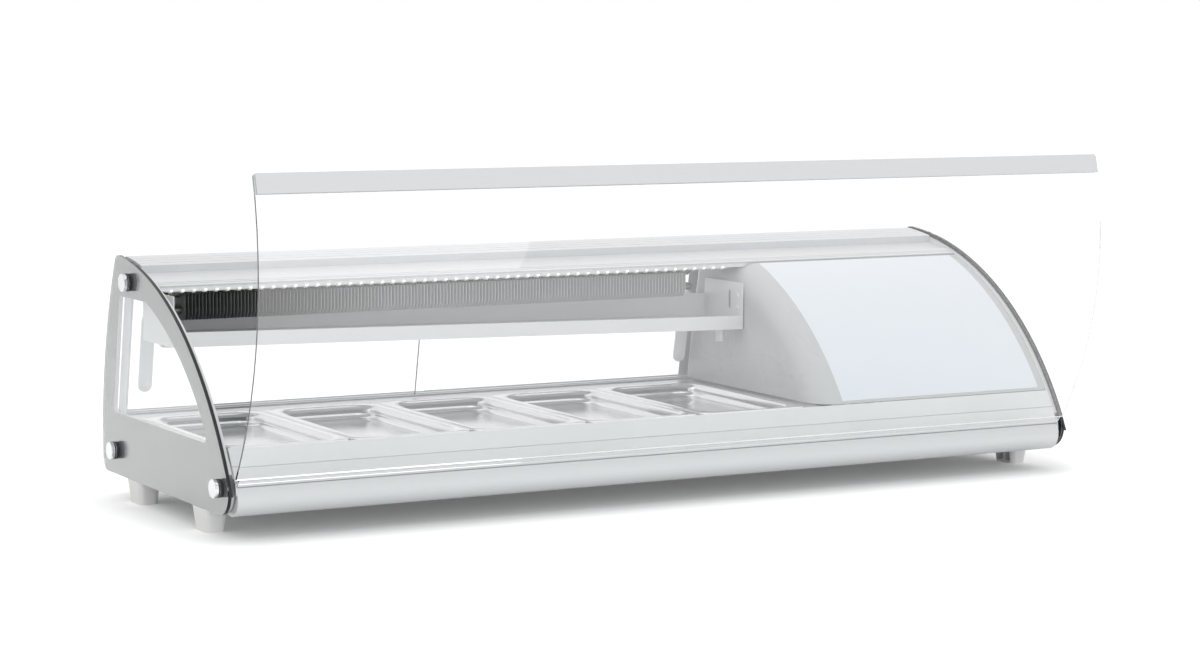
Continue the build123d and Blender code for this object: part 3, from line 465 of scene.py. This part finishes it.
def fine_fins():
    """The evaporator's foil fins at their real close spacing, one outline repeated along the case."""
    profile = [
        (0.088, 0.270),
        (0.096, 0.262),
        (0.152, 0.262),
        (0.152, 0.3095),
        (0.106, 0.3095),
        (0.104, 0.2985),
        (0.088, 0.2985),
    ]
    starts = np.arange(FIN_SPAN[0], FIN_SPAN[1], FIN_STEP)
    points, faces = prisms(profile, starts, FIN_SHEET)
    made = piece("foil_fins", points, faces, "fins", "case")
    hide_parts("evaporator_fins")


def circle_y(radius, height, centre_y=CURVE_Y):
    """The depth of the front circle at a height: centre minus the root of radius^2 - rise^2."""
    return centre_y - np.sqrt(radius**2 - (np.asarray(height) - CURVE_Z) ** 2)


def front_profile():
    """The front extrusion as one outline: sill, seam, band, groove round the hinge, and rounded nose."""
    sill = np.linspace(0.1208, 0.0985, 8)
    band = np.linspace(0.0973, 0.0801, 6)
    groove = np.radians(np.linspace(-39.0, 94.0, 9))
    nose = np.linspace(0.0722, 0.0668, 4)
    rows = [(-0.1636, 0.1210)]
    rows += list(zip(circle_y(FASCIA_RADIUS, sill), sill))
    rows += [(circle_y(SEAM_RADIUS, 0.0979), 0.0979)]
    rows += list(zip(circle_y(FASCIA_RADIUS, band), band))
    rows += [
        (PIVOT[0] + GROOVE_RADIUS * math.cos(t), PIVOT[1] - GROOVE_RADIUS * math.sin(t)) for t in groove
    ]
    rows += list(zip(circle_y(FASCIA_RADIUS, nose), nose))
    turn = np.radians(np.linspace(155.0, 270.0, 15))
    rows += [(NOSE_Y + NOSE_RADIUS * math.cos(t), NOSE_Z + NOSE_RADIUS * math.sin(t)) for t in turn]
    rows += [(-0.1640, 0.0330), (-0.1600, 0.0365), (-0.1484, 0.0365)]
    rows += [(-0.1484, 0.0520), (-0.1720, 0.0620), (-0.1720, 0.0800)]
    rows += [(-0.1570, 0.1000), (-0.1570, 0.1182), (-0.1634, 0.1182)]
    points, faces = prisms(rows, [-FASCIA_HALF], 2 * FASCIA_HALF)
    made = piece("front_profile", points, faces, "anodised", "case")
    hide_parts("front_fascia")


def opened(rows):
    """Turns outline points of the closed front glass about its hinge to the open rest pose."""
    place = np.asarray(rows, float) - PIVOT
    turn = math.radians(OPEN_ANGLE)
    cosine, sine = math.cos(turn), math.sin(turn)
    out = np.stack([place[:, 0] * cosine - place[:, 1] * sine, place[:, 0] * sine + place[:, 1] * cosine], 1)
    return out + PIVOT


def glass_foot():
    """The lower end of the front glass down to its hinge, and the round hinge bead along it."""
    angle = np.radians(np.linspace(151.30, 152.10, 4))
    outer = [(GLASS_CENTRE_Y + GLASS_OUTER * math.cos(t), CURVE_Z + GLASS_OUTER * math.sin(t)) for t in angle]
    inner = [(GLASS_CENTRE_Y + GLASS_INNER * math.cos(t), CURVE_Z + GLASS_INNER * math.sin(t)) for t in angle]
    inner.reverse()
    points, faces = prisms(opened(outer + inner), [-FOOT_HALF], 2 * FOOT_HALF)
    made = piece("glass_foot", points, faces, "front_pane", "front_glass_body")
    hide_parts("glass_holder")
    ring = np.radians(np.arange(0.0, 360.0, 18.0))
    bead = [(PIVOT[0] + BEAD_RADIUS * math.cos(t), PIVOT[1] + BEAD_RADIUS * math.sin(t)) for t in ring]
    points, faces = prisms(bead, [-BEAD_HALF], 2 * BEAD_HALF)
    piece("hinge_bead", points, faces, "anodised", "front_glass_body")


def border_prints():
    """Each side's printed border as two thin skins: the satin face outside, the dark one inside."""
    for name, sign in (("left", -1.0), ("right", 1.0)):
        source = nodes[f"side_print_{name}"].data
        points = np.zeros(len(source.vertices) * 3)
        source.vertices.foreach_get("co", points)
        points = points.reshape(-1, 3)
        outward = (np.abs(points[:, 0]) - PRINT_START) / PRINT_SHEET
        faces = [tuple(face.vertices) for face in source.polygons]
        for skin, look, start in SKIN_STARTS:
            moved = points.copy()
            moved[:, 0] = sign * (start + outward * SKIN_SHEET)
            made = piece(f"border_{skin}_{name}", moved.tolist(), faces, look, "case")
            if skin == "face":
                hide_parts(f"side_print_{name}")


def edge_bands():
    """A dark band on the curved front edge of each side pane: the pane's circle and 0.13 mm past it."""
    heights = np.linspace(0.0620, 0.3405, 48)
    for name, sign in (("left", -1.0), ("right", 1.0)):
        outer = list(zip(circle_y(BAND_RADIUS, heights), heights))
        inner = list(zip(circle_y(PANE_RADIUS, heights), heights))[::-1]
        low = min(sign * PANE_START, sign * PANE_END)
        points, faces = prisms(outer + inner, [low], PANE_END - PANE_START)
        piece(f"edge_band_{name}", points, faces, "dark_line", "case")


def barrel_sleeves():
    """Ribbed dark sleeves behind the chrome caps: radius = 12.25 + 0.45 cos(rib) mm, turned about X."""
    along = np.linspace(0.0, 1.0, 17)
    turn = np.radians(np.arange(0.0, 360.0, 10.0))
    radius = SLEEVE_RADIUS + SLEEVE_RIB * np.cos(along * 6.0 * math.pi)
    radius[0] = radius[-1] = SLEEVE_END
    faces = tube_quads(len(turn), len(along)).tolist()
    number = 0
    for side in (-1.0, 1.0):
        for y, z in STANDOFFS:
            number += 1
            grid = np.zeros((len(along), len(turn), 3))
            grid[..., 0] = side * (SLEEVE_START + SLEEVE_LENGTH * along)[:, None]
            grid[..., 1] = y + radius[:, None] * np.cos(turn)[None]
            grid[..., 2] = z + radius[:, None] * np.sin(turn)[None] * side
            points = grid.reshape(-1, 3).tolist()
            piece(f"sleeve_{number}", points, faces, "rubber", "case", True)


def light_lenses():
    """The row of emitters: a flattened dome, x = a cos u cos v, y = b sin v, z = c sin u cos v, repeated."""
    u = np.radians(np.arange(0.0, 360.0, 45.0))
    v = np.radians(np.linspace(-80.0, 80.0, 5))
    dome = np.zeros((len(v), len(u), 3))
    dome[..., 0] = np.cos(v)[:, None] * np.cos(u)[None]
    dome[..., 1] = np.sin(v)[:, None]
    dome[..., 2] = np.cos(v)[:, None] * np.sin(u)[None]
    dome = dome.reshape(-1, 3) * LED_HALF_SIZES
    count = len(u)
    ring = np.arange(count)
    quads = tube_quads(count, len(v))
    caps = [ring.tolist()[::-1], (ring + (len(v) - 1) * count).tolist()]
    centres = np.zeros((LED_COUNT, 3))
    centres[:, 0] = LED_START + LED_PITCH * np.arange(LED_COUNT)
    centres[:, 1] = LED_Y
    centres[:, 2] = LED_Z
    points = (centres[:, None] + dome[None]).reshape(-1, 3)
    faces = []
    for number in range(LED_COUNT):
        base = number * len(dome)
        faces += (quads + base).tolist()
        faces += [[corner + base for corner in cap] for cap in caps]
    piece("light_lenses", points.tolist(), faces, "emitter", "case")


def rounded_ring(half_w, half_l, corner, steps=9):
    """A rounded rectangle: each corner's centre plus corner * (cos, sin) over its quarter turn."""
    quarter = np.linspace(0.0, 0.5 * math.pi, steps)
    turns = np.concatenate([quarter + k * 0.5 * math.pi for k in range(4)])
    signs = np.repeat(np.array([[1, 1], [-1, 1], [-1, -1], [1, -1]], float), steps, 0)
    centre = signs * np.array([half_w - corner, half_l - corner])
    return centre + corner * np.stack([np.cos(turns), np.sin(turns)], 1)


def pan_rows():
    """The pan's section as rows of half width, half length, corner and height, top side then underside."""
    top = [
        (0.0, 0.0140, RIM_Z - 0.0034),
        (0.0, 0.0140, RIM_Z - 0.0008),
        (0.0008, 0.0134, RIM_Z),
        (0.0102, 0.0330, RIM_Z),
        (0.0112, 0.0340, RIM_Z - 0.0006),
        (0.0117, 0.0345, RIM_Z - 0.0018),
        (0.0140, 0.0320, RIM_Z - 0.0110),
    ]
    for turn in np.radians(np.linspace(0.0, 90.0, 7)):
        inward = FILLET * (1 - math.cos(turn))
        top.append((0.0143 + inward, 0.0317 - inward, RIM_Z - 0.0106 - FILLET * math.sin(turn)))
    top += [(0.0480, 0.0200, RIM_Z - 0.0193), (0.0800, 0.0050, RIM_Z - 0.0193)]
    under = [(inset - 0.0008, corner, height - PAN_SHEET) for inset, corner, height in top[4:]]
    under.reverse()
    under += [(0.0012, 0.0130, RIM_Z - 0.0012), (0.0010, 0.0130, RIM_Z - 0.0034)]
    rows = []
    for inset, corner, height in top + under:
        rows.append((PAN_HALF_WIDTH - inset, PAN_HALF_LENGTH - inset, corner, height))
    return rows, len(top) - 1


def smooth_pans():
    """Five drawn steel pans: rings of rounded rectangles joined into one closed skin."""
    rows, floor_row = pan_rows()
    for number in range(PAN_COUNT):
        centre = np.array([PAN_FIRST + PAN_PITCH * number, PAN_Y])
        rings = []
        for half_w, half_l, corner, height in rows:
            ring = rounded_ring(half_w, half_l, min(corner, half_w - 0.0005)) + centre
            rings.append(np.concatenate([ring, np.full((len(ring), 1), height)], 1))
        points = np.concatenate(rings).tolist()
        count = len(rings[0])
        ring = np.arange(count)
        following = np.roll(ring, -1)
        faces = []
        for row in range(len(rings)):
            if row != floor_row:
                base, above = row * count, ((row + 1) % len(rings)) * count
                quads = [base + ring, base + following, above + following, above + ring]
                faces += np.stack(quads, 1).tolist()
        faces.append((floor_row * count + ring).tolist())
        faces.append(((floor_row + 1) * count + ring[::-1]).tolist())
        body = f"lift_pan_{number + 1}"
        made = piece(f"drawn_pan_{number + 1}", points, faces, "polished", body, True)
        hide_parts(f"pan_{number + 1}")


fine_fins()
front_profile()
glass_foot()
border_prints()
edge_bands()
barrel_sleeves()
light_lenses()
smooth_pans()


# The stage: floor, world, lamps and camera


FOOTPRINT = (0.62, 0.15, 1.0)


def floor():
    """A plain white ground; looking rays see added white, less of it in the case's contact shade."""
    mesh = bpy.data.meshes.new("ground")
    span = 30.0
    corners = [(-span, -span, 0.0), (span, -span, 0.0), (span, span, 0.0), (-span, span, 0.0)]
    mesh.from_pydata(corners, [], [(0, 1, 2, 3)])
    made = bpy.data.objects.new("ground", mesh)
    bpy.context.scene.collection.objects.link(made)
    paint = bpy.data.materials.new("White ground")
    paint.use_nodes = True
    tree = paint.node_tree
    shader = tree.nodes["Principled BSDF"]
    shader.inputs["Base Color"].default_value = (0.86, 0.86, 0.86, 1.0)
    shader.inputs["Roughness"].default_value = 0.9
    shader.inputs["Specular IOR Level"].default_value = 0.0
    shader.inputs["Emission Color"].default_value = (1.0, 1.0, 1.0, 1.0)
    lift = tree.nodes.new("ShaderNodeMath")
    lift.operation = "MULTIPLY"
    tree.links.new(contact_shade(tree), lift.inputs[1])
    tree.links.new(seen_rays(tree), lift.inputs[0])
    tree.links.new(lift.outputs[0], shader.inputs["Emission Strength"])
    made.data.materials.append(paint)


def contact_shade(tree):
    """Added white: little under the case, rising with the distance outside its footprint."""
    place = tree.nodes.new("ShaderNodeTexCoord")
    size = tree.nodes.new("ShaderNodeVectorMath")
    size.operation = "ABSOLUTE"
    outside = tree.nodes.new("ShaderNodeVectorMath")
    outside.operation = "SUBTRACT"
    outside.inputs[1].default_value = FOOTPRINT
    floor_zero = tree.nodes.new("ShaderNodeVectorMath")
    floor_zero.operation = "MAXIMUM"
    reach = tree.nodes.new("ShaderNodeVectorMath")
    reach.operation = "LENGTH"
    remap = tree.nodes.new("ShaderNodeMapRange")
    remap.interpolation_type = "SMOOTHSTEP"
    remap.inputs["From Max"].default_value = 0.14
    remap.inputs["To Min"].default_value = 0.10
    remap.inputs["To Max"].default_value = 0.46
    link = tree.links.new
    link(place.outputs["Object"], size.inputs[0])
    link(size.outputs[0], outside.inputs[0])
    link(outside.outputs[0], floor_zero.inputs[0])
    link(floor_zero.outputs[0], reach.inputs[0])
    link(reach.outputs["Value"], remap.inputs["Value"])
    return remap.outputs[0]


def seen_rays(tree):
    """One where a camera, glossy or transmission ray looks, else zero."""
    ray = tree.nodes.new("ShaderNodeLightPath")
    first = tree.nodes.new("ShaderNodeMath")
    first.operation = "MAXIMUM"
    second = tree.nodes.new("ShaderNodeMath")
    second.operation = "MAXIMUM"
    tree.links.new(ray.outputs["Is Camera Ray"], first.inputs[0])
    tree.links.new(ray.outputs["Is Glossy Ray"], first.inputs[1])
    tree.links.new(first.outputs[0], second.inputs[0])
    tree.links.new(ray.outputs["Is Transmission Ray"], second.inputs[1])
    return second.outputs[0]


def world():
    """Soft white light from all round, pure white where it is looked at."""
    made = bpy.data.worlds.new("Studio")
    bpy.context.scene.world = made
    made.use_nodes = True
    tree = made.node_tree
    back = tree.nodes["Background"]
    back.inputs["Color"].default_value = (1.0, 1.0, 1.0, 1.0)
    seen = seen_rays(tree)
    remap = tree.nodes.new("ShaderNodeMapRange")
    remap.inputs["To Min"].default_value = 0.68
    remap.inputs["To Max"].default_value = 1.0
    tree.links.new(seen, remap.inputs["Value"])
    tree.links.new(remap.outputs[0], back.inputs["Strength"])


def lamp(name, place, target, size, power):
    """A soft square lamp aimed at a point."""
    light = bpy.data.lights.new(name, "AREA")
    light.size = size
    light.energy = power
    made = bpy.data.objects.new(name, light)
    bpy.context.scene.collection.objects.link(made)
    made.location = place
    made.visible_glossy = False
    aim = Vector(target) - Vector(place)
    made.rotation_euler = aim.to_track_quat("-Z", "Y").to_euler()


CAMERA_PLACE = (-2.04694, -3.63830, 0.66992)
CAMERA_TURN = math.radians(-29.115)
CAMERA_DIP = math.radians(6.070)
CAMERA_ROLL = math.radians(0.248)
CAMERA_LENS = 86.345


def camera():
    """The photograph's own viewpoint, from its measured turn, dip, roll and focal length."""
    lens = bpy.data.cameras.new("view")
    lens.sensor_fit = "HORIZONTAL"
    lens.sensor_width = 36.0
    lens.lens = CAMERA_LENS
    lens.clip_end = 100.0
    made = bpy.data.objects.new("view", lens)
    bpy.context.scene.collection.objects.link(made)
    back = np.array(
        [
            math.sin(CAMERA_TURN) * math.cos(CAMERA_DIP),
            -math.cos(CAMERA_TURN) * math.cos(CAMERA_DIP),
            math.sin(CAMERA_DIP),
        ]
    )
    right = np.cross(-back, [0.0, 0.0, 1.0])
    right /= np.linalg.norm(right)
    up = np.cross(right, -back)
    cosine, sine = math.cos(CAMERA_ROLL), math.sin(CAMERA_ROLL)
    across = right * cosine + up * sine
    upward = up * cosine - right * sine
    turn = np.stack([across, upward, back], 1)
    made.matrix_world = Matrix.Translation(CAMERA_PLACE) @ Matrix(turn.tolist()).to_4x4()
    bpy.context.scene.camera = made


floor()
world()
lamp("key", (-2.0, -2.4, 2.2), (0.0, 0.0, 0.2), 2.2, 14.0)
lamp("fill", (2.4, -2.2, 1.8), (0.0, 0.0, 0.2), 2.0, 6.0)
lamp("top", (0.0, 0.6, 2.8), (0.0, 0.0, 0.2), 2.4, 17.0)
lamp("low", (0.4, -3.2, 0.5), (0.0, 0.0, 0.1), 1.6, 9.0)
camera()
bpy.context.scene.view_settings.view_transform = "Standard"
